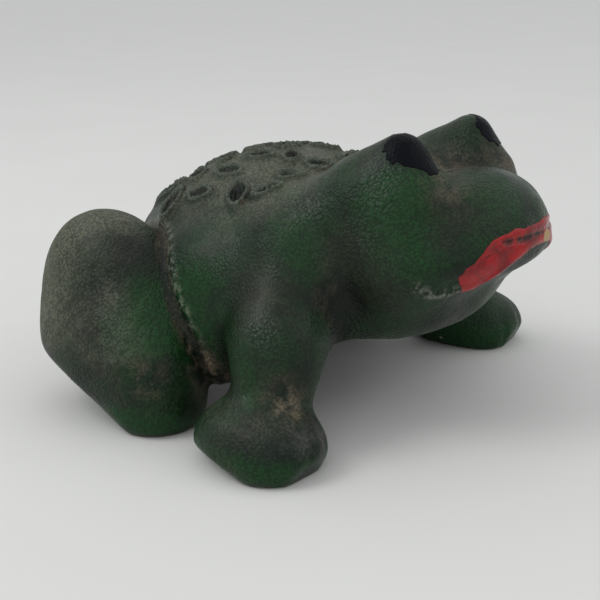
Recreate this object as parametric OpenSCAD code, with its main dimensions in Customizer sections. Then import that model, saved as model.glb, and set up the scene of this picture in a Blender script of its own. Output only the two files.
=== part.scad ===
// Sitting frog, cast in iron as one hollow shell that is open underneath, with painted eyes and mouth.
// X is the frog's left, -Y is the way it looks, +Z is up. The feet stand on Z = 0.

/* [Body] */
// Width of the trunk across the ribs
trunk_w = 86; // [80:1:92]
// Length of the trunk from chest to rump
trunk_l = 95; // [90:1:100]
// Height of the middle of the trunk above the ground
trunk_z = 37.2; // [35:0.1:40]
// Height of the trunk from belly to back
trunk_h = 62; // [58:1:64]
// How far the flank swells out below the ribs
flank_w = 11; // [8:0.5:13]

/* [Head] */
// Width of the head across the cheeks
head_w = 68; // [64:1:72]
// Height of the middle of the head above the ground
head_z = 47; // [45:0.5:49]
// Width of the snout
snout_w = 45; // [40:1:50]
// How far the middle of the snout lies in front of the middle of the frog
snout_y = 48.2; // [46:0.1:50]
// Half the distance between the eyes
eye_x = 18.8; // [18:0.1:21]
// Height of the tops of the eyes above the ground
eye_top = 78.4; // [75:0.1:80]
// Radius of the top of an eye
eye_r = 6; // [5.5:0.1:7]

/* [Legs] */
// Distance from the mirror plane to the middle of a forefoot
forefoot_x = 56.2; // [54:0.1:58]
// Length of a forefoot
forefoot_l = 34.8; // [32:0.2:38]
// Width of a forefoot
forefoot_w = 26.8; // [25:0.2:29]
// Distance from the mirror plane to the middle of a haunch
haunch_x = 44.3; // [42:0.1:46]
// Height of a haunch
haunch_h = 58; // [55:1:60]
// Thickness of a haunch across
haunch_w = 34; // [30:1:36]
// Angle at which a haunch leans back
haunch_lean = 18; // [12:1:20]

/* [Casting] */
// Thickness of the iron shell
wall = 5; // [4:0.5:7]
// Thickness of a coat of enamel
coat = 0.5; // [0.4:0.1:0.8]
// How far a coat stands proud of the iron round it
proud = 0.3; // [0.1:0.1:0.3]

/* [Back] */
// Number of rows of raised leaves along the back
leaf_rows = 5; // [3:1:6]
// Height of a leaf above the back
leaf_h = 1.2; // [0.8:0.1:1.6]

/* [Hidden] */

iron = [0.10, 0.21, 0.13];
black = [0.03, 0.03, 0.04];
red = [0.62, 0.07, 0.06];

// Middles and half sizes of the rounded masses that make up the frog, left side given as +X
trunk_c = [0, 12, trunk_z];
trunk_r = [trunk_w / 2, trunk_l / 2, trunk_h / 2];
rump_c = [0, 32.5, 29];
rump_r = [30, 26, 22.5];
flank_c = [trunk_w / 2 - 6.3, 13, 28];
flank_r = [flank_w, 21.5, 19.5];
throat_c = [0, -19, 33.5];
throat_r = [head_w / 2 - 0.5, 30.5, 13];
head_c = [0, -26, head_z];
head_r = [head_w / 2, 27, 18.5];
muzzle_c = [0, -42.8, head_z + 1];
muzzle_r = [head_w / 2 - 3.5, 21.5, 9];
jaw_c = [0, -38, head_z - 5];
jaw_r = [head_w / 2 - 4.5, 19, 12];
snout_c = [0, -snout_y, head_z + 7];
snout_r = [snout_w / 2, 16.4, 14.3];
eye_foot_c = [eye_x, -28, 59];
eye_c = [eye_x, -36, eye_top - eye_r];
brow_top_c = [eye_x - 0.6, -36, 69.6];
brow_low_c = [eye_x - 1.8, -41.5, 62.8];
cheek_top_c = [eye_x + 2.2, -39, 61];
cheek_low_c = [25, -39, 47];
shoulder_c = [24.5, -9.5, 52.2];
arm_top_c = [28, -9.5, 49];
elbow_c = [44.5, -15, 28];
wrist_c = [50.8, -17.2, 13];
forefoot_c = [forefoot_x, -15.8, 5.5];
forefoot_r = [forefoot_w / 2, forefoot_l / 2, 11.3];
toes_c = [forefoot_x + 0.2, -23.6, 5.5];
toes_r = [forefoot_w / 2 - 0.4, 12, 9.8];
haunch_c = [haunch_x, 40.5, 27];
haunch_r = [haunch_w / 2, 23.3, haunch_h / 2];
hip_c = [haunch_x + 2.2, 43, 19];
hip_r = [haunch_w / 2 - 0.5, 20, 16];
hindfoot_c = [haunch_x + 6.2, 23, 11];
hindfoot_r = [13.8, 14.6, 14.5];

eye_foot_r = 14;
brow_top_r = 6.6;
brow_low_r = 7.4;
cheek_top_r = 7.8;
cheek_low_r = 8.8;
ridge_r = 8.8;
arm_r = 12.4;
elbow_r = 11.4;
wrist_r = 11;
patch_shift = [1.8, -3.6, 2.6];
patch_r = 6.4;
forefoot_turn = 8;
haunch_turn = 5;
hull_fn = 22;
mass_fn = 36;
small_fn = 24;

// Flats: a point on each, the way it faces in plan, and how far it is tipped over from straight up
chin_point = [0, -57.5, head_z - 5.8];
chin_turn = -90;
chin_tip = 150;
heel_point = [haunch_x + 11.7, 41.2, 5.5];
heel_turn = 35.4;
heel_tip = 135.6;
sole_point = [forefoot_x + 13.6, -16, 4];
sole_turn = 25.5;
sole_tip = 135.6;

// The mouth lies between two curves, seen from the front
mouth_half = 23;
mouth_top = head_z + 9;
mouth_low = head_z + 3.5;
top_drop = 8;
top_power = 4;
low_half = 16;
low_drop = 10;
low_power = 3;
corner_x = 18.8;
corner_rise = 1.12;
mouth_back = -50;

// Leaves on the back
leaf_l = 8;
leaf_w = 4;
leaf_step = 9.6;
leaf_gap = 8.6;
leaf_start = -1;
fan_step = 2;
leaf_turn = 25;
row_turn = 20;
far = 100;

// Where the hollow's masses lie further in than the wall alone would put them
head_shift = [0, 1, 0.5];
flank_shift = [3, 0, 0];
nose_c = [0, -43, head_z + 4];
nose_r = [16, 12, 8];

// A scaled ball with its middle at c and half sizes r
module mass(c, r, fn = mass_fn) {
    translate(c) scale(r) hull() sphere(r = 1, $fn = fn);
}

// A limb that runs from ball to ball
module limb(a, ra, b, rb) {
    hull() {
        translate(a) sphere(r = ra, $fn = hull_fn);
        translate(b) sphere(r = rb, $fn = hull_fn);
    }
}

// Both sides at once: the child is drawn on the frog's left and mirrored to its right
module both_sides() {
    children();
    mirror([1, 0, 0]) children();
}

// Everything on the outer side of a flat
module beyond(point, turn, tip) {
    translate(point) rotate([0, tip, turn]) translate([-far, -far, 0]) cube([2 * far, 2 * far, far]);
}

// Head, muzzle, jaw, snout and the columns under the eyes, grown by g all over
module head_form(g = 0) {
    grow = [g, g, g];
    difference() {
        union() {
            hull() {
                mass(head_c, head_r + grow);
                mass(muzzle_c, muzzle_r + grow);
                mass(jaw_c, jaw_r + grow, small_fn);
            }
            mass(snout_c, snout_r + grow);
            both_sides() limb(cheek_top_c, cheek_top_r + g, cheek_low_c, cheek_low_r + g);
        }
        beyond(chin_point + g * [0, -sin(chin_tip), cos(chin_tip)], chin_turn, chin_tip);
    }
}

// Cone of one eye and the brow that runs down from it to the snout, grown by g all over
module eye_form(g = 0) {
    limb(eye_foot_c, eye_foot_r + g, eye_c, eye_r + g);
    limb(brow_top_c, brow_top_r + g, brow_low_c, brow_low_r + g);
}

// Ridge that runs back from an eye to the shoulder
module shoulder_ridge() {
    limb(eye_foot_c, ridge_r, shoulder_c, ridge_r);
}

module trunk_form() {
    mass(trunk_c, trunk_r);
    mass(rump_c, rump_r);
    mass(throat_c, throat_r);
    both_sides() mass(flank_c, flank_r, small_fn);
}

module foreleg() {
    limb(arm_top_c, arm_r, elbow_c, elbow_r);
    limb(elbow_c, elbow_r, wrist_c, wrist_r);
    difference() {
        hull() {
            translate(forefoot_c) rotate([0, 0, forefoot_turn]) scale(forefoot_r)
                sphere(r = 1, $fn = small_fn);
            mass(toes_c, toes_r, small_fn);
        }
        beyond(sole_point, sole_turn, sole_tip);
    }
}

// Haunch and hind foot: one blunt egg that leans back from the foot under it, with a ground flat at its heel
module haunch() {
    difference() {
        hull() {
            translate(haunch_c) rotate([-haunch_lean, 0, 0]) rotate([0, 0, -haunch_turn])
                scale(haunch_r) sphere(r = 1, $fn = mass_fn);
            mass(hip_c, hip_r, small_fn);
            mass(hindfoot_c, hindfoot_r, small_fn);
        }
        beyond(heel_point, heel_turn, heel_tip);
    }
}

// Height of the trunk's back above the ground at x, y
function back_z(x, y) = trunk_z + trunk_r.z * sqrt(max(0,
    1 - pow(x / trunk_r.x, 2) - pow((y - trunk_c.y) / trunk_r.y, 2)));

// Raised leaves, alternately turned, in rows that fan out from the backbone
module back_leaves() {
    for (row = [0 : leaf_rows - 1], col = [-2 : 2]) {
        x = col * leaf_gap;
        y = leaf_start + row * leaf_step + fan_step * abs(col);
        translate([x, y, back_z(x, y)]) rotate([0, x, 0])
            rotate([0, 0, leaf_turn * sign(col) + row_turn * (row % 2)])
            scale([leaf_w / 2, leaf_l / 2, leaf_h]) sphere(r = 1, $fn = 8);
    }
}

// A hollow with straight sides down to the ground: a scaled ball on an upright shaft
module hollow(c, r) {
    mass(c, r, small_fn);
    translate([c.x, c.y, -far]) linear_extrude(far + c.z) scale([r.x, r.y]) circle(r = 1, $fn = small_fn);
}

module casting_hollow() {
    in = [wall, wall, wall];
    hollow(trunk_c, trunk_r - in);
    hollow(throat_c, throat_r - in);
    mass(head_c + head_shift, head_r - in, small_fn);
    mass(nose_c, nose_r, small_fn);
    both_sides() hollow(flank_c - flank_shift, flank_r - in);
}

module ground() {
    translate([0, 0, -far]) cube(2 * far, center = true);
}

// Coat over the top and front of one eye
module eye_coat() {
    intersection() {
        translate(eye_c + patch_shift) sphere(r = patch_r, $fn = hull_fn);
        difference() {
            eye_form(proud);
            eye_form(proud - coat);
        }
    }
}

// Upper and lower edge of the mouth at x
function mouth_upper(x) = mouth_top - top_drop * pow(abs(x) / mouth_half, top_power);
function mouth_lower(x) = mouth_low - min(
    low_drop * pow(abs(x) / low_half, low_power), low_drop, low_drop - corner_rise * (abs(x) - corner_x));

// Crescent seen from the front, as a block that runs back from the tip of the snout
module mouth_block() {
    translate([0, mouth_back, 0]) rotate([90, 0, 0]) linear_extrude(far) polygon(concat(
        [for (x = [-mouth_half : mouth_half]) [x, mouth_upper(x)]],
        [for (x = [mouth_half : -1 : -mouth_half]) [x, mouth_lower(x)]]));
}

module mouth_coat() {
    intersection() {
        mouth_block();
        difference() {
            head_form(proud);
            head_form(proud - coat);
        }
    }
}

module frog_casting() {
    color(iron) difference() {
        union() {
            trunk_form();
            head_form();
            both_sides() eye_form();
            both_sides() shoulder_ridge();
            both_sides() foreleg();
            both_sides() haunch();
            back_leaves();
        }
        casting_hollow();
        both_sides() eye_coat();
        mouth_coat();
        ground();
    }
}

module eye_paint_left() {
    color(black) eye_coat();
}

module eye_paint_right() {
    color(black) mirror([1, 0, 0]) eye_coat();
}

module mouth_paint() {
    color(red) mouth_coat();
}

frog_casting();
eye_paint_left();
eye_paint_right();
mouth_paint();
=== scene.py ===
"""Sitting frog: a hollow sand casting in worn green enamel, with black eyes and a red mouth."""
import math

import bpy
import numpy as np
from bpy.props import FloatProperty, FloatVectorProperty, IntProperty, PointerProperty
from mathutils import Matrix, Vector


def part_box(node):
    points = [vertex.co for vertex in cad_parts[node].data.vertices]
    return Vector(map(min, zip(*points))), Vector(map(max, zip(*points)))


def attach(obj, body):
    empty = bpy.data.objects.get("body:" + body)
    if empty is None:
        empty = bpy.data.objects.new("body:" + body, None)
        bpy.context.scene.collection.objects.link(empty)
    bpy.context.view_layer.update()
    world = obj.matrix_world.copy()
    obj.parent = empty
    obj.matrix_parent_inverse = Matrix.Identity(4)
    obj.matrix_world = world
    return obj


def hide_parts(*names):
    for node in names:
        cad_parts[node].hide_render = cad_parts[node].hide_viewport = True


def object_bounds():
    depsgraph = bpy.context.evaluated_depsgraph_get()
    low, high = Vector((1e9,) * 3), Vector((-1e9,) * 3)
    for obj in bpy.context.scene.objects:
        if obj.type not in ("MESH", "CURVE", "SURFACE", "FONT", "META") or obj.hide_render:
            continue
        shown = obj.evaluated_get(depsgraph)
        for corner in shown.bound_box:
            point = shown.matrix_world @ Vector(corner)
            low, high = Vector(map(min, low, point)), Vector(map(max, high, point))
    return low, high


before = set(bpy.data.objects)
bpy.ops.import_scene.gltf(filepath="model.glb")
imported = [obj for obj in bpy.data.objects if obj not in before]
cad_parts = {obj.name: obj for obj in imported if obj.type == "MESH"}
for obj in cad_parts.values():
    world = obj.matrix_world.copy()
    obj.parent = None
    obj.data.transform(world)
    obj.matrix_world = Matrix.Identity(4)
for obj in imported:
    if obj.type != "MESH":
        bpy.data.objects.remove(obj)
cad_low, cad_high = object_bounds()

bl_info = {
    "name": "Cast Iron Frog",
    "version": (1, 0, 0),
    "blender": (4, 5, 0),
    "location": "View3D > Sidebar > Frog",
    "description": "A hollow cast frog in worn enamel, with painted eyes and mouth",
    "category": "Add Mesh",
}

BODY = "root"

# ---------------------------------------------------------------- the frog's form, in millimetres
# A ball is (middle, half sizes, turn about X, turn about Z); a limb is (end, radius, end, radius).
# They are given for the frog's left side and mirrored in X = 0.

TRUNK = ((0, 12, 37.2), (43, 47.5, 31), -3, 0)
RUMP = ((0, 32.5, 29), (30, 26, 22.5), 0, 0)
FLANK = ((36.7, 13, 28), (11, 21.5, 19.5), 0, 0)
THROAT = ((0, -19, 33.5), (33.5, 30.5, 13), 0, 0)
SKULL = ((0, -26, 47), (34, 27, 18.5), 0, 0)
MUZZLE = ((0, -42.8, 48), (30.5, 21.5, 9), -6, 0)
JAW = ((0, -38, 42), (29.5, 19, 12), 0, 0)
SNOUT = ((0, -48.2, 54), (22.5, 16.4, 14), 0, 0)
EYE = ((18.8, -28, 59), 14, (18.8, -36, 72.4), 6.0)
BROW = ((18.2, -36, 69.6), 6.3, (17, -41.5, 62.8), 7.2)
CHEEK = ((21, -39, 61), 7.8, (25, -39, 47), 8.8)
RIDGE = ((19.4, -28, 61.5), 8.4, (24.5, -9.5, 52.2), 8.8)
UPPER_ARM = ((28, -9.5, 49), 12, (44.5, -15, 28), 11)
FOREARM = ((44.5, -15.5, 28), 10.8, (50.6, -17.2, 13), 10.6)
FOREFOOT = ((56.2, -15.8, 5.5), (13.3, 17.4, 11.3), 0, 8)
TOES = ((56.4, -23.6, 5.5), (13, 12, 9.8), 0, 0)
HAUNCH = ((44.3, 40.5, 27), (17, 23.3, 29), -18, -5)
HIP = ((46.5, 43, 19), (16.5, 20, 16), 0, 0)
HINDFOOT = ((50.3, 24, 13), (13.8, 14.6, 15.5), 0, 0)
HIND_TOES = ((51, 21.2, 5), (12, 12, 8.5), 0, 0)
# Flats: a point on each and the way it faces
CHIN = ((0, -57.5, 41.2), (0, -0.5, -0.866))
HEEL = ((56, 41.2, 5.5), (0.569, 0.405, -0.715))
SOLE = ((69.9, -16, 4), (0.63, 0.30, -0.715))
TOE_FRONT = ((56.0, -34.6, 4.0), (0.10, -0.86, -0.50))

# Mouth, seen from the front: heights of the red band's edges at the middle,
# and how they fall towards its corners
MOUTH_TOP, MOUTH_DROP, MOUTH_HALF, MOUTH_POWER = 56.0, 8.0, 22.9, 4.0
MOUTH_LOW, MOUTH_LOW_DROP, MOUTH_LOW_HALF, MOUTH_LOW_POWER = 50.5, 10.0, 16.0, 3.0
CORNER_X, CORNER_RISE = 18.8, 1.12
MOUTH_BACK, SLIT_BACK = -53.6, -50.0
SLIT_HEIGHT, SLIT_BELOW_TOP = 53.3, 1.6

# Ridge from the corner of the mouth back along the jaw
JAW_RIDGE = ((20.6, -53.9, 42), (22.4, -52, 41), (26.2, -49.9, 41.1), (28.4, -48.9, 42.1), (30.5, -48.2, 44))

# Leaves on the back
LEAF_COLUMNS = (-3, -2, -1, 0, 1, 2, 3)
LEAF_ROWS = 5
LEAF_GAP, LEAF_STEP, LEAF_START = 9.6, 11.5, -9.0
LEAF_HALF_LENGTH, LEAF_HALF_WIDTH, RIM_WIDTH = 5.4, 3.0, 0.80
RIB_WIDTH = 0.55
# Turns in degrees: away from the backbone, of even and odd rows, and the unevenness of a hand
LEAF_FAN, LEAF_LEANS, LEAF_SWAY = 30, (-26, 38), 12

# Toe splits on a forefoot: x and y where each starts, its width and its depth
TOE_SPLITS = ((51.5, -30.5), (60.5, -28.0))
SPLIT_WIDTH, SPLIT_DEPTH = 1.3, 0.5
# Height and width of the ridge along the jaw, and of the seam beside a haunch
RIDGE_HEIGHT, RIDGE_WIDTH = 0.8, 1.2
SEAM_OUT, SEAM_HEIGHT, SEAM_WIDTH = 3.0, 0.35, 1.3
# Hand-made unevenness: (height, size, seed)
UNEVEN = ((0.30, 17.0, 1), (0.16, 7.0, 2), (0.07, 2.6, 3))

# Soft spots of dirt, wear and painted highlight, each (middle, radius, strength); those named _RIGHT are on
# one side only
DUST = (((42, 8, 13.5), 6.5, 1), ((46.5, 8.3, 19), 4, 0.8), ((0, -36, 65), 9, 0.8),
        ((17, -47, 66), 6, 0.5), ((62, 16, 17), 6, 0.35))
DUST_RIGHT = (((-56, -26, 17), 5, 0.9), ((-47, -10, 17), 6, 0.7))
NO_FILM = (((33, -42, 53), 14, 0.35), ((8, -57, 62), 15, 0.5))
FRESH = (((56, 17, 29), 10, 1), ((45, 10, 40), 11, 1), ((36, -20, 55), 8, 0.9), ((28, -43, 64), 8, 1),
         ((10, -57, 63), 11, 1), ((33, -43, 50), 12, 1), ((58, -17, 19), 6, 1), ((50, -18, 24), 7, 0.8),
         ((44, 6, 24), 9, 0.8))
BROWN = (((34, -30, 51.5), 9, 1), ((35, -36, 43), 9, 1), ((47, -10, 43), 8, 1),
         ((20, -51, 64), 7, 0.8), ((8, 30, 58), 18, 0.4))
# Painted highlights on the high spots, partly polished enamel.
HIGHLIGHT_SPOTS = (((27.6, -37, 71), 4, 1), ((30, -36, 66), 4, 0.8), ((32, -16, 61), 7, 1),
         ((39.5, 0.5, 51.8), 5, 0.8), ((54.8, -17.7, 35), 5, 1), ((62.5, 26, 26), 6, 0.7))
BARE_RIGHT = (((-54, -33, 8), 9, 1),)


def turn_of(about_x, about_z):
    """Rotation matrix: first about X, then about Z, in degrees."""
    return np.array(Matrix.Rotation(math.radians(about_z), 3, "Z")
                    @ Matrix.Rotation(math.radians(about_x), 3, "X"), np.float32)


def ball(p, mass, grow=0.0):
    """Distance to an ellipsoid: |q/r| (|q/r| - 1) / |q/r2|, with q the point in the ellipsoid's axes."""
    middle, half, about_x, about_z = mass
    q = (p - np.array(middle, np.float32)) @ turn_of(about_x, about_z)
    r = np.array(half, np.float32) + np.float32(grow)
    near = np.sqrt(((q / r) ** 2).sum(1))
    return near * (near - 1) / (np.sqrt(((q / (r * r)) ** 2).sum(1)) + 1e-9)


def shaft(p, mass, grow):
    """Distance to a ball whose lower half is drawn straight down: the ball's own, with Z held
    at its middle."""
    middle = mass[0]
    lifted = p.copy()
    lifted[:, 2] = np.maximum(p[:, 2], middle[2])
    return ball(lifted, mass, grow)


def limb(p, ends):
    """Distance to the hull of two balls: that of the nearest circle on the cone that touches both."""
    a, ra, b, rb = np.array(ends[0], np.float32), ends[1], np.array(ends[2], np.float32), ends[3]
    axis = b - a
    length2 = float(axis @ axis)
    taper = ra - rb
    slant2 = length2 - taper * taper
    pa = p - a
    y = pa @ axis
    z = y - length2
    x2 = ((pa * length2 - y[:, None] * axis) ** 2).sum(1)
    y2, z2 = y * y * length2, z * z * length2
    k = np.sign(taper) * taper * taper * x2
    side = (np.sqrt(x2 * slant2 / length2) + y * taper) / length2 - ra
    side = np.where(np.sign(y) * slant2 * y2 < k, np.sqrt(x2 + y2) / length2 - ra, side)
    return np.where(np.sign(z) * slant2 * z2 > k, np.sqrt(x2 + z2) / length2 - rb, side)


def flat(p, plane):
    """Distance to a half space: how far a point lies beyond the flat, along the way it faces."""
    return (p - np.array(plane[0], np.float32)) @ np.array(plane[1], np.float32)


def join(a, b, blend):
    """Smooth union: the smaller distance, less a quarter of blend times the square of their nearness."""
    near = np.maximum(blend - np.abs(a - b), 0) / blend
    return np.minimum(a, b) - near * near * blend * 0.25


def cut(a, b, blend):
    """Smooth intersection: the union's formula with both signs turned."""
    return -join(-a, -b, blend)


def lumps(p, size, seed):
    """Value noise from -1 to 1: random heights on a lattice of the given size, joined by smooth steps."""
    q = p.astype(np.float64) / size + seed * 17.13
    cell = np.floor(q)
    step = q - cell
    step = step * step * (3 - 2 * step)
    total = np.zeros(len(p))
    for corner in range(8):
        offset = np.array([corner & 1, corner >> 1 & 1, corner >> 2 & 1])
        weight = np.where(offset == 1, step, 1 - step).prod(1)
        wave = np.sin((cell + offset) @ np.array([127.1, 311.7, 74.7])) * 43758.5453
        total += weight * (wave - np.floor(wave))
    return (2 * total - 1).astype(np.float32)


def mirrored(p):
    """Points brought to the frog's left side."""
    q = p.copy()
    q[:, 0] = np.abs(q[:, 0])
    return q


def body_form(q):
    """Distance to trunk, head and forelegs before their relief: every mass joined to the next
    with its own blend."""
    head = join(ball(q, SKULL), ball(q, MUZZLE), 6)
    head = join(head, ball(q, JAW), 6)
    head = join(head, ball(q, SNOUT), 7)
    head = join(head, limb(q, EYE), 8)
    head = join(head, limb(q, BROW), 4)
    head = join(head, limb(q, CHEEK), 8)
    head = cut(head, flat(q, CHIN), 2.5)
    form = join(ball(q, TRUNK), ball(q, RUMP), 11)
    form = join(form, head, 9)
    form = join(form, limb(q, RIDGE), 8)
    form = join(form, ball(q, THROAT), 9)
    form = join(form, limb(q, UPPER_ARM), 10)
    form = join(form, limb(q, FOREARM), 7)
    form = join(form, ball(q, FOREFOOT), 5)
    form = join(form, ball(q, TOES), 3)
    form = cut(form, flat(q, SOLE), 1.0)
    return join(form, ball(q, FLANK), 10)


def haunch_form(q):
    """Distance to a haunch with its hind foot and the ground flat at its heel."""
    leg = join(ball(q, HAUNCH), ball(q, HINDFOOT), 15)
    leg = join(leg, ball(q, HIND_TOES), 5)
    leg = join(leg, ball(q, HIP), 8)
    return cut(leg, flat(q, HEEL), 1.5)


def mouth_edges(x):
    """Upper edge, slit and lower edge of the mouth at x: each edge falls with a power of x,
    and the corner is cut off."""
    across = np.abs(x)
    top = MOUTH_TOP - MOUTH_DROP * (across / MOUTH_HALF) ** MOUTH_POWER
    drop = np.minimum(MOUTH_LOW_DROP * (across / MOUTH_LOW_HALF) ** MOUTH_LOW_POWER, MOUTH_LOW_DROP)
    low = MOUTH_LOW - np.minimum(drop, MOUTH_LOW_DROP - CORNER_RISE * (across - CORNER_X))
    return top, np.minimum(SLIT_HEIGHT, top - SLIT_BELOW_TOP), low


def leaves(p):
    """Rim, midrib and inside of the leaves at x, y: bell curves of the distance from an oval's
    outline and axis."""
    rim, rib, inside = (np.zeros(len(p), np.float32) for _ in range(3))
    for column in LEAF_COLUMNS:
        for row in range(LEAF_ROWS):
            if (7 * row + 3 * column) % 6 == 1:
                continue
            x = column * LEAF_GAP + 0.9 * math.sin(3.1 * row + column)
            y = LEAF_START + row * LEAF_STEP + 2.5 * abs(column) + 1.2 * math.sin(5.3 * column + 2.1 * row)
            lean = LEAF_LEANS[row % 2] + LEAF_SWAY * math.sin(row + 2.7 * column)
            turn = math.radians(-LEAF_FAN * np.sign(column) + lean)
            size = 0.85 + 0.25 * math.sin(1.7 * row + 2.3 * column) ** 2
            u = ((p[:, 0] - x) * math.sin(turn) + (p[:, 1] - y) * math.cos(turn)) / (LEAF_HALF_LENGTH * size)
            v = ((p[:, 0] - x) * math.cos(turn) - (p[:, 1] - y) * math.sin(turn)) / (LEAF_HALF_WIDTH * size)
            reach = np.sqrt(u * u + (np.abs(v) / (1 - 0.35 * np.clip(np.abs(u), 0, 1))) ** 2)
            rim = np.maximum(rim, np.exp(-((reach - 0.85) * LEAF_HALF_WIDTH / RIM_WIDTH) ** 2))
            axis = np.exp(-(v * LEAF_HALF_WIDTH / RIB_WIDTH) ** 2)
            rib = np.maximum(rib, axis * np.clip(2.6 - 3 * reach, 0, 1))
            inside = np.maximum(inside, np.clip(3 - 3.4 * reach, 0, 1))
    return rim, rib, inside


def on_back(p):
    """1 on the back, falling to 0 towards the head and the sides."""
    return np.clip((p[:, 2] - 46) / 5, 0, 1) * np.clip((p[:, 1] + 20) / 6, 0, 1)


def relief(p, seam):
    """Raised and sunk detail in millimetres along the normal: leaves, mouth slit, toe splits and
    hand-made unevenness."""
    s = form_settings()
    x, y, z = p[:, 0], p[:, 1], p[:, 2]
    up = sum(height * lumps(p, size, seed) for height, size, seed in UNEVEN)
    back = on_back(p)
    marked = back > 0
    if marked.any():
        rim, rib, inside = leaves(p[marked])
        up[marked] += s.leaf_height * back[marked] * (np.maximum(rim, 0.7 * rib) - 0.30 * inside)
    top, slit, low = mouth_edges(x)
    front = np.clip((SLIT_BACK - y) / 5, 0, 1)
    wide = np.clip((MOUTH_HALF - np.abs(x)) / 5, 0, 1)
    up = up - 0.45 * np.exp(-((z - slit) / 0.8) ** 2) * front * wide
    up = up + 0.45 * np.exp(-((z - low - 1.5) / 2.0) ** 2) * front * wide
    q = mirrored(p)
    for split, start in TOE_SPLITS:
        across = (q[:, 0] - split - 0.25 * (q[:, 1] - start)) / SPLIT_WIDTH
        low_front = np.clip((-27.0 - y) / 6, 0, 1) * np.clip((14 - z) / 6, 0, 1)
        up = up - SPLIT_DEPTH * np.exp(-across ** 2) * low_front
    up = up + SEAM_HEIGHT * np.exp(-((seam - SEAM_OUT) / SEAM_WIDTH) ** 2)
    return up + RIDGE_HEIGHT * np.exp(-(jaw_line(p) / RIDGE_WIDTH) ** 2)


def jaw_line(p):
    """Distance to the ridge that runs back from each corner of the mouth: the nearest of its
    straight runs."""
    q = mirrored(p)
    nearest = np.full(len(p), 99, np.float32)
    for a, b in zip(JAW_RIDGE[:-1], JAW_RIDGE[1:]):
        a = np.array(a, np.float32)
        run = np.array(b, np.float32) - a
        along = np.clip((q - a) @ run / (run @ run), 0, 1)
        nearest = np.minimum(nearest, np.linalg.norm(q - a - along[:, None] * run, axis=1))
    return nearest


def outer_form(p):
    """Distance to the outer skin: the plain form, moved out by the relief close to the surface."""
    q = mirrored(p)
    body, leg = body_form(q), haunch_form(q)
    form = join(body, leg, 2.0)
    near = np.abs(form) < 6
    if near.any():
        form[near] -= relief(p[near], (leg - body)[near])
    return form


def hollow(p, wall):
    """Distance to the hollow under the frog: the masses of trunk, throat and head less the wall."""
    q = mirrored(p)
    inside = shaft(q, TRUNK, -wall)
    inside = join(inside, shaft(q, THROAT, -wall), 5)
    inside = join(inside, ball(q, ((0, -25, 47.5), SKULL[1], 0, 0), -wall - 0.5), 5)
    inside = join(inside, ball(q, ((0, -43, 51), (16, 12, 8), 0, 0)), 5)
    inside = join(inside, shaft(q, ((33.7, 13, 28), FLANK[1], 0, 0), -wall), 4)
    return inside + 0.35 * lumps(p, 9.0, 5)


def casting_form(p):
    """Distance to the iron: the fettled skin less the hollow, standing on the ground."""
    s = form_settings()
    form = cut(outer_form(p), flat(mirrored(p), TOE_FRONT), 0.8)
    form = cut(form, -hollow(p, s.wall), 2.0)
    return cut(form, -p[:, 2], 0.7)


# ---------------------------------------------------------------- from a distance to a mesh


def lattice(shape, low, step, field):
    """Field values on a lattice. Blocks whose middle is far from the surface keep the middle's value."""
    block = 8
    count = [-(-n // block) for n in shape]
    values = np.empty([c * block for c in count], np.float32)
    middles = np.stack(np.meshgrid(*[np.arange(c) for c in count], indexing="ij"), -1).reshape(-1, 3)
    points = low + step * (middles * block + block / 2 - 0.5)
    rough = field(points.astype(np.float32))
    grid = values.reshape(count[0], block, count[1], block, count[2], block).transpose(0, 2, 4, 1, 3, 5)
    grid[...] = rough.reshape(count)[..., None, None, None]
    near = np.abs(rough) < 0.5 * math.sqrt(3) * block * step * 1.25 + 2.5
    inner = np.stack(np.meshgrid(*[np.arange(block)] * 3, indexing="ij"), -1).reshape(-1, 3)
    for part in np.array_split(middles[near], max(1, int(near.sum()) // 600)):
        cells = (part[:, None, :] * block + inner[None]).reshape(-1, 3)
        found = field((low + step * cells).astype(np.float32))
        grid[part[:, 0], part[:, 1], part[:, 2]] = found.reshape(-1, block, block, block)
    return values[:shape[0], :shape[1], :shape[2]]


def surface_net(values, low, step):
    """One point in each lattice cell that the surface crosses, at the mean of its edges' crossings,
    and one four-sided face round each lattice edge that the surface crosses."""
    inside = values < 0
    size = np.array(values.shape) - 1
    count = np.zeros(size, np.int8)
    for i in (0, 1):
        for j in (0, 1):
            for k in (0, 1):
                count += inside[i:i + size[0], j:j + size[1], k:k + size[2]]
    crossed = (count > 0) & (count < 8)
    number = np.full(size, -1, np.int64)
    number[crossed] = np.arange(int(crossed.sum()))
    cells = np.argwhere(crossed)
    total = np.zeros((len(cells), 3))
    hits = np.zeros(len(cells))
    unit = np.eye(3, dtype=np.int64)
    for axis in range(3):
        first, second = (axis + 1) % 3, (axis + 2) % 3
        for i in (0, 1):
            for j in (0, 1):
                start = cells + i * unit[first] + j * unit[second]
                a = values[tuple(start.T)].astype(np.float64)
                b = values[tuple((start + unit[axis]).T)].astype(np.float64)
                across = (a < 0) != (b < 0)
                part = np.where(across, a / np.where(across, a - b, 1), 0)
                total += np.where(across[:, None], start + part[:, None] * unit[axis], 0)
                hits += across
    faces = []
    for axis in range(3):
        first, second = (axis + 1) % 3, (axis + 2) % 3
        here = [slice(1, n) for n in size]
        after = list(here)
        here[axis], after[axis] = slice(0, size[axis]), slice(1, size[axis] + 1)
        start_in, end_in = inside[tuple(here)], inside[tuple(after)]
        edges = np.argwhere(start_in != end_in)
        out = start_in[tuple(edges.T)]
        edges = edges + np.array([0 if a == axis else 1 for a in range(3)])
        ring = [edges - unit[first] - unit[second], edges - unit[second], edges, edges - unit[first]]
        quad = np.stack([number[tuple(r.T)] for r in ring], 1)
        faces.append(np.where(out[:, None], quad, quad[:, ::-1]))
    return low + step * total / hits[:, None], np.concatenate(faces)


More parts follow.
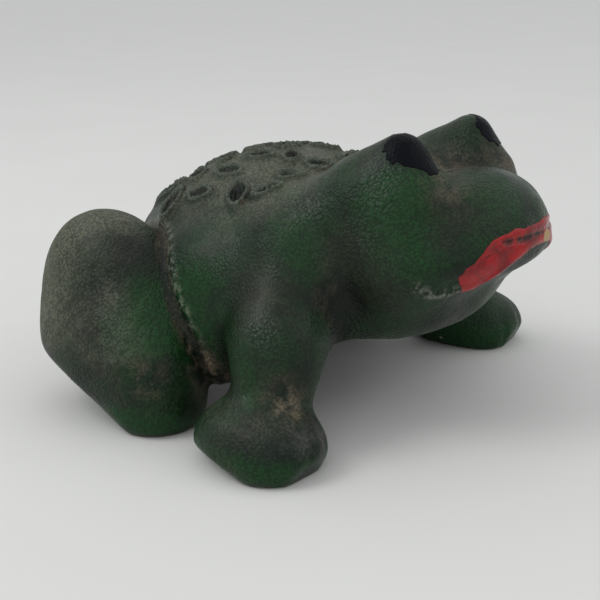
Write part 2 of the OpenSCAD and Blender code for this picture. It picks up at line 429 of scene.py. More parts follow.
def slope(points, field, reach):
    """Gradient of a field by central differences."""
    found = np.empty((len(points), 3))
    for axis in range(3):
        offset = np.zeros(3, np.float32)
        offset[axis] = reach
        found[:, axis] = (field(points + offset) - field(points - offset)) / (2 * reach)
    return found


def settle(points, field, step, rounds=2):
    """Moves points onto the surface: each goes against the gradient by the field's value over its square."""
    for _ in range(rounds):
        p = points.astype(np.float32)
        grad = slope(p, field, 0.15)
        move = field(p)[:, None] * grad / np.maximum((grad ** 2).sum(1), 0.2)[:, None]
        length = np.linalg.norm(move, axis=1, keepdims=True)
        points = points - move * np.minimum(1, 0.5 * step / np.maximum(length, 1e-6))
    return points


def mesh_of(name, field, low, high, step):
    """Mesh in millimetres of the surface where a field is zero, inside a box."""
    low = np.array(low, float) - 1.5 * step
    shape = np.ceil((np.array(high, float) + 1.5 * step - low) / step).astype(int) + 1
    points, faces = surface_net(lattice(shape, low, step, field), low, step)
    return settle(points, field, step), faces


def to_frame(points):
    """Millimetres of the form brought to the frame: its box is laid exactly on the casting's box."""
    low, high = (np.array(v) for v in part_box("frog_casting"))
    return low + (points - form_low) * (high - low) / (form_high - form_low)


def new_piece(name, points, faces, material):
    """A smooth mesh object at the origin, with one material."""
    mesh = bpy.data.meshes.new(name)
    mesh.from_pydata(points.tolist(), [], faces.tolist())
    mesh.polygons.foreach_set("use_smooth", np.ones(len(mesh.polygons), bool))
    mesh.update()
    piece = bpy.data.objects.new(name, mesh)
    bpy.context.scene.collection.objects.link(piece)
    mesh.materials.append(material)
    return piece


def thin_out(piece, limit):
    """Collapses the flattest faces until the mesh has at most the given number of triangles."""
    triangles = sum(len(p.vertices) - 2 for p in piece.data.polygons)
    if triangles <= limit:
        return
    modifier = piece.modifiers.new("Thin out", "DECIMATE")
    modifier.ratio = limit / triangles
    finished = piece.evaluated_get(bpy.context.evaluated_depsgraph_get())
    mesh = bpy.data.meshes.new_from_object(finished)
    piece.modifiers.clear()
    old = piece.data
    piece.data = mesh
    mesh.name = old.name
    bpy.data.meshes.remove(old)


def add_mask(mesh, name, values):
    """Stores one number per vertex as a named attribute."""
    layer = mesh.attributes.new(name, "FLOAT", "POINT")
    layer.data.foreach_set("value", np.clip(values, 0, 1).astype(np.float32))


def spots(points, table):
    """Soft round spots added up: each is its strength times the bell curve of the distance to its middle."""
    total = np.zeros(len(points))
    for middle, radius, strength in table:
        total += strength * np.exp(-((points - np.array(middle)) ** 2).sum(1) / radius ** 2)
    return total


def wear_masks(points, field):
    """Crease and edge masks: how much nearer the surface is, a few millimetres out and in, than on a flat.
    The first sets the painted shade in creases, and where dust settles.
    """
    p = points.astype(np.float32)
    normal = slope(p, field, 0.4)
    normal = (normal / np.maximum(np.linalg.norm(normal, axis=1, keepdims=True), 1e-6)).astype(np.float32)
    shade_and_dirt = sum(1 - np.clip(field(p + r * normal), 0, r) / r for r in (1.5, 4.0, 9.0)) / 3
    edge = sum(1 - np.clip(-field(p - r * normal), 0, r) / r for r in (1.2, 3.5)) / 2
    fine = 1 - np.clip(field(p + 1.3 * normal), 0, 1.3) / 1.3
    return shade_and_dirt, edge, fine, normal


# ---------------------------------------------------------------- materials


def new_group(name, inputs, outputs):
    """An empty shader node group. Inputs are (name, type, default), outputs (name, type)."""
    tree = bpy.data.node_groups.new(name, "ShaderNodeTree")
    for label, kind, default in inputs:
        socket = tree.interface.new_socket(label, in_out="INPUT", socket_type=kind)
        if default is not None:
            socket.default_value = default
    for label, kind in outputs:
        tree.interface.new_socket(label, in_out="OUTPUT", socket_type=kind)
    return Nodes(tree)


class Nodes:
    """Short calls that add nodes to a tree and link them."""

    def __init__(self, tree):
        self.tree = tree

    def add(self, kind, inputs=None, **values):
        """One node; an input's value is a socket to link or a plain value."""
        node = self.tree.nodes.new("ShaderNode" + kind if not kind.startswith("Node") else kind)
        for key, value in values.items():
            setattr(node, key, value)
        for key, value in (inputs or {}).items():
            if isinstance(value, bpy.types.NodeSocket):
                self.tree.links.new(value, node.inputs[key])
            else:
                node.inputs[key].default_value = value
        return node

    def math(self, operation, a, b=0.0, clamp=False):
        return self.add("Math", {0: a, 1: b}, operation=operation, use_clamp=clamp).outputs[0]

    def noise(self, vector, scale, detail=3.0, rough=0.55, distortion=0.0):
        return self.add("TexNoise", {"Vector": vector, "Scale": scale, "Detail": detail,
                                     "Roughness": rough, "Distortion": distortion}).outputs["Fac"]

    def ramp(self, value, low, high, to_low=0.0, to_high=1.0):
        """A value brought from one range to another, smoothly and held at the ends."""
        return self.add("MapRange", {"Value": value, "From Min": low, "From Max": high,
                                     "To Min": to_low, "To Max": to_high},
                        interpolation_type="SMOOTHSTEP").outputs["Result"]

    def mix(self, amount, a, b, blend="MIX"):
        node = self.add("Mix", data_type="RGBA", blend_type=blend)
        for socket, value in ((node.inputs[0], amount), (node.inputs[6], a), (node.inputs[7], b)):
            if isinstance(value, bpy.types.NodeSocket):
                self.tree.links.new(value, socket)
            else:
                socket.default_value = value
        return node.outputs[2]

    def mask(self, name):
        return self.add("Attribute", attribute_name=name, attribute_type="GEOMETRY").outputs["Fac"]

    def up(self):
        """How far the surface faces up, from -1 to 1."""
        return self.add("SeparateXYZ", {0: self.add("NewGeometry").outputs["Normal"]}).outputs["Z"]

    def use(self, group, inputs):
        node = self.tree.nodes.new("ShaderNodeGroup")
        node.node_tree = group
        for key, value in inputs.items():
            if isinstance(value, bpy.types.NodeSocket):
                self.tree.links.new(value, node.inputs[key])
            else:
                node.inputs[key].default_value = value
        return node

    def start(self):
        return self.tree.nodes.new("NodeGroupInput")

    def finish(self, values):
        node = self.tree.nodes.new("NodeGroupOutput")
        for key, value in values.items():
            self.tree.links.new(value, node.inputs[key])


def shader_group(name, build):
    """The named group, built the first time it is asked for."""
    found = bpy.data.node_groups.get(name)
    return found if found else build(name)


def build_sand_grain(name):
    """Pebbled skin of a sand casting: two sizes of soft cells and a fine noise, as a height from 0 to 1."""
    n = new_group(name, [("Vector", "NodeSocketVector", None), ("Scale", "NodeSocketFloat", 1.0)],
                  [("Height", "NodeSocketFloat"), ("Pits", "NodeSocketFloat"), ("Peaks", "NodeSocketFloat")])
    start = n.start()
    vector, scale = start.outputs["Vector"], start.outputs["Scale"]
    cells = n.add("TexVoronoi", {"Vector": vector, "Scale": n.math("MULTIPLY", scale, 1400.0),
                                 "Smoothness": 0.8}, feature="SMOOTH_F1").outputs["Distance"]
    coarse = n.noise(vector, n.math("MULTIPLY", scale, 520.0), 3.0, 0.6)
    fine = n.noise(vector, n.math("MULTIPLY", scale, 2300.0), 2.0, 0.6)
    height = n.math("ADD", n.math("MULTIPLY", cells, -1.0), n.math("MULTIPLY", coarse, 0.7))
    height = n.math("ADD", height, n.math("MULTIPLY", fine, 0.5))
    n.finish({"Height": height, "Pits": n.ramp(height, 0.26, 0.02), "Peaks": n.ramp(height, 0.36, 0.56)})
    return n.tree


def build_patches(name):
    """Ragged patches: a broad noise broken by a finer one, cut at a level that sets how much is covered."""
    n = new_group(name, [("Vector", "NodeSocketVector", None), ("Scale", "NodeSocketFloat", 60.0),
                         ("Cover", "NodeSocketFloat", 0.5), ("Soft", "NodeSocketFloat", 0.05)],
                  [("Mask", "NodeSocketFloat")])
    start = n.start()
    vector, scale = start.outputs["Vector"], start.outputs["Scale"]
    broad = n.noise(vector, scale, 5.0, 0.62, 0.4)
    fine = n.noise(vector, n.math("MULTIPLY", scale, 9.0), 3.0, 0.6)
    value = n.math("ADD", broad, n.math("MULTIPLY", n.math("SUBTRACT", fine, 0.5), 0.22))
    level = n.math("SUBTRACT", 1.0, start.outputs["Cover"])
    node = n.add("MapRange", {"Value": value, "From Min": n.math("SUBTRACT", level, start.outputs["Soft"]),
                              "From Max": n.math("ADD", level, start.outputs["Soft"])},
                 interpolation_type="SMOOTHSTEP")
    n.finish({"Mask": node.outputs["Result"]})
    return n.tree


def build_specks(name):
    """Sparse round specks: one in a few cells of a cell pattern, each a small disc round the cell's point."""
    n = new_group(name, [("Vector", "NodeSocketVector", None), ("Scale", "NodeSocketFloat", 120.0),
                         ("Size", "NodeSocketFloat", 0.08), ("Share", "NodeSocketFloat", 0.15)],
                  [("Mask", "NodeSocketFloat")])
    start = n.start()
    cells = n.add("TexVoronoi", {"Vector": start.outputs["Vector"], "Scale": start.outputs["Scale"]})
    chosen = n.math("LESS_THAN", n.add("SeparateColor", {0: cells.outputs["Color"]}).outputs["Red"],
                    start.outputs["Share"])
    disc = n.math("LESS_THAN", cells.outputs["Distance"], start.outputs["Size"])
    n.finish({"Mask": n.math("MULTIPLY", disc, chosen)})
    return n.tree


def new_material(name):
    """A material with a Principled shader; returns the material, its nodes and the shader."""
    material = bpy.data.materials.new(name)
    material.use_nodes = True
    nodes = Nodes(material.node_tree)
    return material, nodes, material.node_tree.nodes["Principled BSDF"]


def link(nodes, shader, values):
    """Links or sets the Principled shader's sockets."""
    for key, value in values.items():
        if isinstance(value, bpy.types.NodeSocket):
            nodes.tree.links.new(value, shader.inputs[key])
        else:
            shader.inputs[key].default_value = value


def rgba(colour):
    return (*colour, 1.0)


def green_enamel(paint):
    """Old dark green enamel on sand-cast iron: brighter where it is sound, greyed by a dusty film on upper
    faces and by painted light on the haunch's lit side, darkened by painted shade in creases, pits and the
    hollows of the leaves, with painted highlights, partly wear, on the rims of the leaves, the ridges and the
    high spots, tan dust in recesses, and worn to dark iron in places."""
    material, n, shader = new_material("green_enamel")
    place = n.add("TexCoord").outputs["Object"]
    shade_and_dirt, edge, up = n.mask("shade_and_dirt"), n.mask("edge"), n.up()
    grain = n.use(shader_group("Sand grain", build_sand_grain), {"Vector": place, "Scale": 1.0})
    patches = shader_group("Patches", build_patches)
    specks = shader_group("Specks", build_specks)

    broad = n.noise(place, 38.0, 4.0, 0.55, 0.3)
    colour = n.mix(n.ramp(broad, 0.42, 0.60), rgba(paint.green_dark), rgba(paint.green))
    fresh = n.noise(place, 55.0, 5.0, 0.62, 0.3)
    fresh = n.ramp(n.math("ADD", fresh, n.math("MULTIPLY", n.mask("fresh"), 0.32)), 0.52, 0.78)
    colour = n.mix(n.math("MULTIPLY", fresh, 0.9), colour, rgba(paint.green_bright))

    elsewhere = n.add("VectorMath", {0: place, 1: (0.37, 0.11, 0.53)}, operation="ADD").outputs[0]
    brown = n.use(patches, {"Vector": elsewhere, "Scale": 46.0, "Cover": 0.42, "Soft": 0.09}).outputs["Mask"]
    brown = n.math("MULTIPLY", brown, 0.45)
    brown = n.math("ADD", brown, n.math("MULTIPLY", n.mask("brown"), 0.6), clamp=True)
    colour = n.mix(n.math("MULTIPLY", brown, 0.8), colour, rgba(paint.grime))

    film_noise = n.noise(place, 95.0, 5.0, 0.65)
    film_noise = n.math("MULTIPLY", n.math("SUBTRACT", film_noise, 0.5), 0.7)
    film = n.math("ADD", n.math("MULTIPLY", up, 0.55), film_noise)
    film = n.math("SUBTRACT", n.math("ADD", film, n.mask("film")), n.mask("film_off"))
    film = n.ramp(film, 0.28, 0.95)
    speckle = n.ramp(n.noise(place, 1500.0, 3.0, 0.65), 0.36, 0.60, 0.45, 1.0)
    film = n.math("MULTIPLY", film, speckle)
    colour = n.mix(n.math("MULTIPLY", film, 0.85), colour, rgba(paint.film))

    # Painted shade: creases darkened by how closely the surface closes round them.
    dark = n.ramp(shade_and_dirt, 0.26, 0.50)
    colour = n.mix(n.math("MULTIPLY", dark, 0.8), colour, rgba(paint.shade_and_dirt))
    dust_noise = n.noise(place, 240.0, 4.0, 0.65)
    dust = n.math("MULTIPLY", n.mask("dust"), n.ramp(dust_noise, 0.38, 0.60))
    colour = n.mix(n.math("MULTIPLY", dust, 0.85), colour, rgba(paint.dust))

    # Painted shade: a thin dark line in the tightest creases.
    outline = n.ramp(n.mask("fine"), 0.16, 0.45)
    colour = n.mix(n.math("MULTIPLY", outline, 0.7), colour, rgba(paint.shade_and_dirt))
    # Painted shade inside the hollow of each of the leaves.
    colour = n.mix(n.math("MULTIPLY", n.mask("leaf"), 0.75), colour, rgba(paint.shade_and_dirt))
    # Painted highlight on the rims of the leaves, partly wear.
    colour = n.mix(n.math("MULTIPLY", n.ramp(n.mask("rim"), 0.45, 0.95), 0.70), colour, rgba(paint.worn))
    # Painted highlight, partly wear, along the jaw ridges and the ridge beside each haunch.
    pale = n.math("MULTIPLY", n.mask("jaw"), n.ramp(n.noise(place, 500.0, 3.0, 0.6), 0.42, 0.58))
    colour = n.mix(n.math("MULTIPLY", pale, 0.9), colour, rgba(paint.ridge))

    rub = n.math("MULTIPLY", n.math("SUBTRACT", n.noise(place, 300.0, 5.0, 0.7), 0.5), 0.9)
    rub = n.math("ADD", edge, rub)
    worn = n.ramp(rub, 0.66, 0.78)
    colour = n.mix(n.math("MULTIPLY", worn, 0.75), colour, rgba(paint.worn))
    bare = n.math("MULTIPLY", n.mask("bare"), n.ramp(n.noise(place, 210.0, 5.0, 0.7), 0.46, 0.54))
    colour = n.mix(bare, colour, rgba(paint.iron))
    chips = n.use(specks, {"Vector": place, "Scale": 95.0, "Size": 0.055, "Share": 0.10}).outputs["Mask"]
    colour = n.mix(n.math("MULTIPLY", chips, 0.8), colour, rgba(paint.speck))
    # Painted shade and dirt in the pits of the grain.
    colour = n.mix(n.math("MULTIPLY", grain.outputs["Pits"], 0.45), colour, rgba(paint.shade_and_dirt))
    colour = n.mix(n.math("MULTIPLY", grain.outputs["Peaks"], 0.06), colour, rgba(paint.worn))

    # Painted highlight: pale specks on the high spots, partly polished enamel.
    highlight_and_polish = n.math("MULTIPLY", n.mask("highlight_and_polish"), n.ramp(n.noise(place, 1700.0, 2.0, 0.6), 0.50, 0.66))
    colour = n.mix(n.math("MULTIPLY", highlight_and_polish, 0.40), colour, rgba(paint.polish_and_highlight))
    gloss = n.ramp(n.noise(place, 130.0, 4.0, 0.6), 0.35, 0.68, 0.27, 0.46)
    gloss = n.math("SUBTRACT", gloss, n.math("MULTIPLY", n.mask("highlight_and_polish"), 0.10))
    rough = n.math("ADD", gloss, n.math("MULTIPLY", film, 0.34))
    rough = n.math("ADD", rough, n.math("MULTIPLY", dust, 0.3), clamp=True)
    calm = n.ramp(n.noise(place, 60.0, 3.0, 0.5), 0.40, 0.62, 0.35, 1.0)
    calm = n.math("MULTIPLY", calm, n.math("SUBTRACT", 1.0, n.math("MULTIPLY", n.mask("smooth"), 0.85)))
    bump = n.add("Bump", {"Strength": 0.65, "Distance": 0.00050,
                          "Height": n.math("MULTIPLY", grain.outputs["Height"], calm)})
    link(n, shader, {"Base Color": colour, "Roughness": rough, "Normal": bump.outputs["Normal"],
                     "Metallic": n.math("MULTIPLY", bare, 0.6), "Specular IOR Level": 0.19})
    return material


def black_enamel(paint):
    """Black enamel on an eye: satin, a little bluish, with a dusty film and fine scratches of grey."""
    material, n, shader = new_material("black_eye_enamel")
    place = n.add("TexCoord").outputs["Object"]
    grain = n.use(shader_group("Sand grain", build_sand_grain), {"Vector": place, "Scale": 0.9})
    film = n.use(shader_group("Patches", build_patches),
                 {"Vector": place, "Scale": 150.0, "Cover": 0.42, "Soft": 0.1}).outputs["Mask"]
    film = n.math("MULTIPLY", film, n.ramp(n.up(), 0.1, 0.95, 0.1, 0.5))
    colour = n.mix(n.math("MULTIPLY", film, 0.06), rgba(paint.black), rgba(paint.film))
    bump = n.add("Bump", {"Strength": 0.4, "Distance": 0.0004, "Height": grain.outputs["Height"]})
    rough = n.ramp(film, 0.0, 1.0, 0.34, 0.6)
    link(n, shader, {"Base Color": colour, "Roughness": rough, "Normal": bump.outputs["Normal"],
                     "Specular IOR Level": 0.06})
    return material


def red_enamel(paint):
    """Glossy red enamel: darker where it is dirty, chipped black along the slit, one pale chip in front."""
    material, n, shader = new_material("red_mouth_enamel")
    place = n.add("TexCoord").outputs["Object"]
    grain = n.use(shader_group("Sand grain", build_sand_grain), {"Vector": place, "Scale": 0.8})
    tone = n.ramp(n.noise(place, 180.0, 4.0, 0.6), 0.38, 0.62)
    colour = n.mix(tone, rgba(paint.red_dark), rgba(paint.red))
    film = n.ramp(n.noise(place, 330.0, 4.0, 0.65), 0.45, 0.70)
    colour = n.mix(n.math("MULTIPLY", film, 0.08), colour, rgba(paint.red_film))
    slit = n.math("MULTIPLY", n.mask("slit"), n.ramp(n.noise(place, 420.0, 4.0, 0.7), 0.42, 0.52))
    colour = n.mix(slit, colour, rgba(paint.shade_and_dirt))
    pale = n.math("ADD", n.mask("pale_chip"), n.math("MULTIPLY",
                  n.math("SUBTRACT", n.noise(place, 500.0, 4.0, 0.7), 0.5), 0.8))
    pale = n.ramp(pale, 0.48, 0.56)
    colour = n.mix(pale, colour, rgba(paint.primer))
    rough = n.math("ADD", n.ramp(film, 0.0, 1.0, 0.20, 0.38), n.math("MULTIPLY", pale, 0.35))
    bump = n.add("Bump", {"Strength": 0.30, "Distance": 0.0003, "Height": grain.outputs["Height"]})
    link(n, shader, {"Base Color": colour, "Roughness": rough, "Normal": bump.outputs["Normal"],
                     "Specular IOR Level": 0.22, "Coat Weight": 0.06, "Coat Roughness": 0.12})
    return material


def floor_sheet(stage):
    """Plain pale paper: one soft colour with the faintest mottle."""
    material, n, shader = new_material("pale_floor")
    place = n.add("TexCoord").outputs["Object"]
    tone = n.ramp(n.noise(place, 14.0, 3.0, 0.5), 0.3, 0.7)
    pale = tuple(0.985 * c for c in stage.floor_colour)
    link(n, shader, {"Base Color": n.mix(tone, rgba(pale), rgba(stage.floor_colour)), "Roughness": 0.9,
                     "Specular IOR Level": 0.1})
    return material


# ---------------------------------------------------------------- settings


def colour_property(name, text, value):
    return FloatVectorProperty(name=name, description=text, subtype="COLOR", size=3, min=0, max=1,
                               default=value)


class FrogFormSettings(bpy.types.PropertyGroup):
    """Sizes of the casting, in millimetres."""

    wall: FloatProperty(name="Wall", description="Thickness of the iron shell, in mm", default=5.0,
                        min=3, max=8)
    cell: FloatProperty(name="Cell", description="Size of a mesh cell on the casting, in mm", default=0.85,
                        min=0.6, max=3)
    coat_cell: FloatProperty(name="Coat cell", description="Size of a mesh cell on the enamel coats, in mm",
                             default=0.30, min=0.2, max=1)
    leaf_height: FloatProperty(name="Leaf height", description="Height of the leaves on the back, in mm",
                               default=1.65, min=0, max=2.5)
    coat_in: FloatProperty(name="Coat inside", description="How deep a coat reaches into the iron, in mm",
                           default=0.35, min=0.1, max=1)
    coat_out: FloatProperty(name="Coat outside", description="How far a coat stands proud of the iron, in mm",
                            default=0.16, min=0.05, max=0.4)
    triangles: IntProperty(name="Triangles", description="Most triangles on the casting", default=190000,
                           min=20000, max=199000)


class FrogPaintSettings(bpy.types.PropertyGroup):
    """Colours of the enamels, the iron and the dirt."""

    green: colour_property("Green", "Sound green enamel", (0.010, 0.032, 0.011))
    green_dark: colour_property("Dark green", "Green enamel where it is thick", (0.006, 0.015, 0.008))
    green_bright: colour_property("Bright green", "Green enamel that is still clean", (0.007, 0.046, 0.010))
    grime: colour_property("Grime", "Brown grime over the enamel", (0.026, 0.020, 0.018))
    # Also painted on the haunch's lit side as painted light.
    film: colour_property("Film", "Grey film of dust and wear", (0.150, 0.155, 0.112))
    shade_and_dirt: colour_property("Crease", "Dirt in the creases", (0.0035, 0.0055, 0.004))
    # Painted shade for creases, grain pits, the hollows of the leaves and the haunch seam; also the black
    # chips along the mouth's slit.
    dust: colour_property("Dust", "Tan dust in the recesses", (0.20, 0.155, 0.105))
    # Also used for the painted highlight on the rims of the leaves.
    worn: colour_property("Worn edge", "Enamel rubbed thin on the edges", (0.080, 0.098, 0.075))
    # Painted highlight on the high spots, partly polished enamel.
    polish_and_highlight: colour_property("Polished", "Enamel rubbed bright on the high spots", (0.13, 0.155, 0.135))
    # Painted highlight on the jaw and haunch ridges, partly wear.
    ridge: colour_property("Ridge", "Primer that shows where a ridge is rubbed", (0.22, 0.235, 0.18))
    iron: colour_property("Iron", "Bare iron", (0.062, 0.062, 0.058))
    speck: colour_property("Speck", "Tiny pale chips", (0.50, 0.50, 0.44))
    black: colour_property("Black", "Enamel of the eyes", (0.003, 0.004, 0.006))
    red: colour_property("Red", "Enamel of the mouth", (0.33, 0.010, 0.012))
    red_dark: colour_property("Dark red", "Enamel of the mouth where it is dirty", (0.17, 0.012, 0.014))
    red_film: colour_property("Red film", "Chalky film on the red", (0.30, 0.10, 0.09))
    primer: colour_property("Primer", "Pale ground under the red", (0.40, 0.27, 0.14))


class FrogStageSettings(bpy.types.PropertyGroup):
    """Floor, light and camera."""

    floor_colour: colour_property("Floor", "Colour of the floor", (0.72, 0.72, 0.70))
    azimuth: FloatProperty(name="Azimuth", description="Where the camera stands; 0 is in front of the frog",
                           subtype="ANGLE", default=math.radians(-54.4))
    elevation: FloatProperty(name="Elevation", description="Height of the camera above the horizon",
                             subtype="ANGLE", default=math.radians(17.65))
    roll: FloatProperty(name="Roll", description="Tilt of the camera about its own line of sight",
                        subtype="ANGLE", default=math.radians(-1.22))
    distance: FloatProperty(name="Distance", description="From the camera to the point that it looks at",
                            subtype="DISTANCE", unit="LENGTH", default=0.330)
    lens: FloatProperty(name="Lens", description="Focal length for a 36 mm wide sensor, in mm", default=66.0)


def form_settings():
    return bpy.context.scene.frog_form


# ---------------------------------------------------------------- operators


class FROG_OT_casting(bpy.types.Operator):
    """The hollow iron casting in green enamel"""

    bl_idname = "frog.casting"
    bl_label = "Casting"

    def execute(self, context):
        global form_low, form_high
        s = context.scene.frog_form
        points, faces = mesh_of("frog", casting_form, (-72, -68, 0), (72, 68, 80), s.cell)
        form_low, form_high = points.min(0), points.max(0)
        piece = new_piece("frog", points, faces, green_enamel(context.scene.frog_paint))
        thin_out(piece, s.triangles)
        mesh = piece.data
        mesh.polygons.foreach_set("use_smooth", np.ones(len(mesh.polygons), bool))
        found = np.empty(len(mesh.vertices) * 3)
        mesh.vertices.foreach_get("co", found)
        found = found.reshape(-1, 3)
        shade_and_dirt, edge, fine, normal = wear_masks(found, casting_form)
        x, y, z = found.T
        q = mirrored(found)
        dust = spots(q, DUST) + spots(found, DUST_RIGHT)
        dust += 0.6 * np.clip((shade_and_dirt - 0.22) / 0.3, 0, 1) * (normal[:, 2] > 0.1)
        q = q.astype(np.float32)
        seam = haunch_form(q) - body_form(q)
        on_haunch = np.clip(0.5 - seam, 0, 1) * np.clip((y - 8) / 6, 0, 1)
        # Film on the haunch, strongest on the side the light falls on: grey dust film and painted light.
        light_facing_side = 0.95 * np.clip(0.62 + 0.75 * normal[:, 1], 0, 1) - 0.12
        film = on_haunch * np.clip((z - 8) / 14, 0, 1) * light_facing_side
        film += 0.28 * np.clip((y + 22) / 15, 0, 1) * np.clip((z - 50) / 8, 0, 1)
        film -= spots(q, NO_FILM) + 0.35 * np.clip((13 - z) / 6, 0, 1)
        fresh = spots(q, FRESH) + np.clip((10 - z) / 5, 0, 1)
        # Rims of the leaves: painted highlight, partly wear.
        rim, _, inside = leaves(found)
        # Insides of the leaves: painted shade, and kept free of film below.
        leaf_rim, leaf_inside = rim * on_back(found), inside * on_back(found) * (1 - rim)
        film -= 0.5 * leaf_inside
        smooth = np.clip((11 - z) / 4, 0, 1) * np.clip(0.2 - normal[:, 2], 0, 1)
        # Painted shade deepening the fold where the haunch meets the flank.
        seam_shade_zone = np.clip((z - 10) / 6, 0, 1) * np.clip((y - 4) / 4, 0, 1)
        shade_and_dirt += 0.6 * np.exp(-((seam - 0.6) / 1.5) ** 2) * seam_shade_zone
        # Pale line along the ridge next to each haunch: painted highlight, partly wear; stored with the jaw
        # mask.
        seam_ridge_zone = np.clip((z - 18) / 8, 0, 1) * np.clip((y - 5) / 6, 0, 1)
        pale = 0.55 * np.exp(-((seam - SEAM_OUT) / RIDGE_WIDTH) ** 2) * seam_ridge_zone
        bare = spots(found, BARE_RIGHT) + 0.9 * np.clip((1.5 - z) / 1.0, 0, 1)
        jaw = np.exp(-(jaw_line(found.astype(np.float32)) / 1.3) ** 2)
        for name, mask in (("shade_and_dirt", shade_and_dirt), ("edge", edge), ("fine", fine), ("dust", dust), ("film", film),
                           ("bare", bare), ("jaw", jaw + pale), ("fresh", fresh),
                           ("film_off", -film), ("rim", leaf_rim), ("leaf", leaf_inside),
                           ("brown", spots(q, BROWN)),
                           ("smooth", smooth), ("highlight_and_polish", spots(q, HIGHLIGHT_SPOTS))):
            add_mask(mesh, name, mask)
        mesh.vertices.foreach_set("co", to_frame(found).ravel())
        mesh.update()
        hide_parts("frog_casting")
        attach(piece, BODY)
        return {"FINISHED"}


def coat_piece(name, region, low, high, material):
    """One coat of enamel: the skin of the casting, from a little inside to a little outside, in a region."""
    s = form_settings()
    middle, half = (s.coat_out - s.coat_in) / 2, (s.coat_out + s.coat_in) / 2

    def coat(p):
        skin = np.abs(outer_form(p) - middle) - half
        return cut(skin, region(p), 0.25)

    points, faces = mesh_of(name, coat, low, high, s.coat_cell)
    piece = new_piece(name, to_frame(points), faces, material)
    return piece, points


class FROG_OT_eyes(bpy.types.Operator):
    """Black enamel over the top of each eye"""

    bl_idname = "frog.eyes"
    bl_label = "Eye enamel"

    def execute(self, context):
        material = black_enamel(context.scene.frog_paint)
        for side, word, radius in ((1, "left", 4.9), (-1, "right", 5.7)):
            middle = np.array((side * 20.4, -40.6, 74.8), np.float32)
            run = np.array((side * 0.52, 0.75, 0.40), np.float32)
            run /= np.linalg.norm(run)

            def region(p):
                """A ball drawn out along the brow, with a ragged edge."""
                q = p - middle
                q = q - 0.22 * (q @ run)[:, None] * run
                return np.linalg.norm(q, axis=1) - radius + 1.1 * lumps(p, 3.0, 11) + 0.7 * lumps(p, 1.2, 12)

            piece, _ = coat_piece("eye_enamel_" + word, region, middle - 10, middle + 10, material)
            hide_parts("eye_paint_" + word)
            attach(piece, BODY)
        return {"FINISHED"}


class FROG_OT_mouth(bpy.types.Operator):
    """Red enamel along the mouth"""

    bl_idname = "frog.mouth"
    bl_label = "Mouth enamel"

    def execute(self, context):
        def region(p):
            """Between the mouth's two edges, in front of its corners, with a brushed edge."""
            top, _, low = mouth_edges(p[:, 0])
            brush = 0.35 * lumps(p, 3.5, 21) + 0.25 * lumps(p, 1.2, 22)
            band = np.maximum(p[:, 2] - top, low - p[:, 2])
            ends = np.maximum(np.abs(p[:, 0]) - MOUTH_HALF, p[:, 1] - MOUTH_BACK)
            return np.maximum(0.8 * band, ends) + brush

        piece, points = coat_piece("mouth_enamel", region, (-27, -70, 38), (27, -44, 60),
                                   red_enamel(context.scene.frog_paint))
        _, slit, _ = mouth_edges(points[:, 0])
        forward = np.clip((17 - np.abs(points[:, 0])) / 5, 0, 1)
        add_mask(piece.data, "slit", forward * np.exp(-((points[:, 2] - slit) / 0.75) ** 2))
        chip = np.array((4.0, -65.5, 51.6))
        away = (points - chip) / np.array((3.6, 4.0, 2.2))
        add_mask(piece.data, "pale_chip", np.clip(1.25 - np.linalg.norm(away, axis=1), 0, 1))
        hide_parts("mouth_paint")
        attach(piece, BODY)
        return {"FINISHED"}


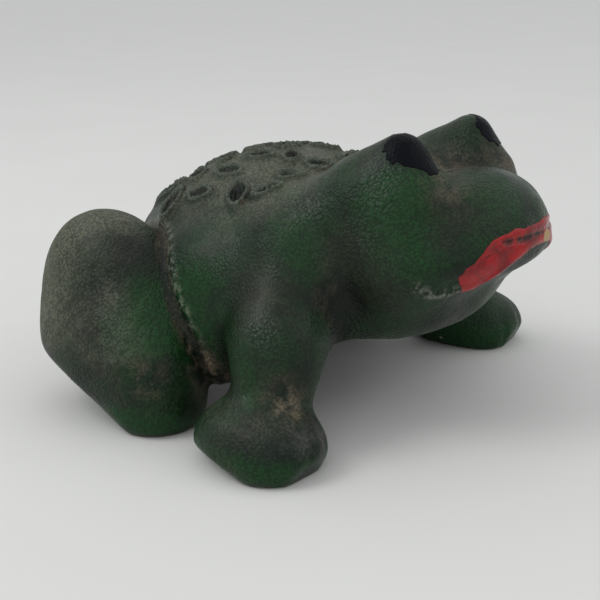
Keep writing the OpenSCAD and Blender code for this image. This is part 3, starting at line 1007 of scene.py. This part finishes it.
class FROG_OT_stage(bpy.types.Operator):
    """Pale floor, soft light and the camera"""

    bl_idname = "frog.stage"
    bl_label = "Stage"

    def execute(self, context):
        stage = context.scene.frog_stage
        low, high = cad_low, cad_high
        middle = (low + high) / 2
        size = (high - low).length

        half = 14 * size
        mesh = bpy.data.meshes.new("floor")
        corners = [(-half, -half, 0), (half, -half, 0), (half, half, 0), (-half, half, 0)]
        mesh.from_pydata(corners, [], [(0, 1, 2, 3)])
        mesh.materials.append(floor_sheet(stage))
        floor = bpy.data.objects.new("floor", mesh)
        context.scene.collection.objects.link(floor)

        back = Vector((math.sin(stage.azimuth) * math.cos(stage.elevation),
                       -math.cos(stage.azimuth) * math.cos(stage.elevation), math.sin(stage.elevation)))
        aim = Vector((middle.x + 0.0039, middle.y + 0.0132, low.z + 0.0214))
        data = bpy.data.cameras.new("camera")
        data.lens = stage.lens
        data.clip_start, data.clip_end = 0.01, 20
        camera = bpy.data.objects.new("camera", data)
        context.scene.collection.objects.link(camera)
        camera.location = aim + back * stage.distance
        turn = (-back).to_track_quat("-Z", "Y").to_matrix() @ Matrix.Rotation(stage.roll, 3, "Z")
        camera.rotation_euler = turn.to_euler()
        context.scene.camera = camera

        self.light(context, "key", middle + Vector((-0.50, 0.42, 0.75)), middle, 0.45, 2.45)
        self.light(context, "fill", middle + Vector((-0.85, -0.35, 0.45)), middle, 0.50, 0.5)
        self.light(context, "front", middle + Vector((0.35, -0.90, 0.55)), middle, 0.60, 0.9)
        world = bpy.data.worlds.new("room")
        world.use_nodes = True
        sky = world.node_tree.nodes["Background"]
        n = Nodes(world.node_tree)
        height = n.add("SeparateXYZ", {0: n.add("TexCoord").outputs["Generated"]}).outputs["Z"]
        n.tree.links.new(n.ramp(height, -0.1, 0.9, 0.56, 0.84), sky.inputs["Strength"])
        sky.inputs["Color"].default_value = (0.97, 0.985, 1.0, 1.0)
        context.scene.world = world
        context.scene.view_settings.view_transform = "Standard"
        return {"FINISHED"}

    @staticmethod
    def light(context, name, place, aim, size, power):
        """A square soft box that faces the frog."""
        data = bpy.data.lights.new(name, "AREA")
        data.size, data.energy = size, power
        lamp = bpy.data.objects.new(name, data)
        context.scene.collection.objects.link(lamp)
        lamp.location = place
        lamp.rotation_euler = (aim - place).to_track_quat("-Z", "Y").to_euler()


class FROG_PT_panel(bpy.types.Panel):
    """Buttons that build the frog"""

    bl_label = "Cast Iron Frog"
    bl_space_type = "VIEW_3D"
    bl_region_type = "UI"
    bl_category = "Frog"

    def draw(self, context):
        for operator in OPERATORS:
            self.layout.operator(operator.bl_idname)
        for group in (context.scene.frog_form, context.scene.frog_paint, context.scene.frog_stage):
            box = self.layout.box()
            for name in group.__annotations__:
                box.prop(group, name)


OPERATORS = (FROG_OT_casting, FROG_OT_eyes, FROG_OT_mouth, FROG_OT_stage)
SETTINGS = (FrogFormSettings, FrogPaintSettings, FrogStageSettings)
form_low = form_high = None


def register():
    for item in SETTINGS + OPERATORS + (FROG_PT_panel,):
        bpy.utils.register_class(item)
    bpy.types.Scene.frog_form = PointerProperty(type=FrogFormSettings)
    bpy.types.Scene.frog_paint = PointerProperty(type=FrogPaintSettings)
    bpy.types.Scene.frog_stage = PointerProperty(type=FrogStageSettings)


def unregister():
    del bpy.types.Scene.frog_form, bpy.types.Scene.frog_paint, bpy.types.Scene.frog_stage
    for item in reversed(SETTINGS + OPERATORS + (FROG_PT_panel,)):
        bpy.utils.unregister_class(item)


def main():
    register()
    bpy.ops.frog.casting()
    bpy.ops.frog.eyes()
    bpy.ops.frog.mouth()
    bpy.ops.frog.stage()


if __name__ == "__main__":
    main()
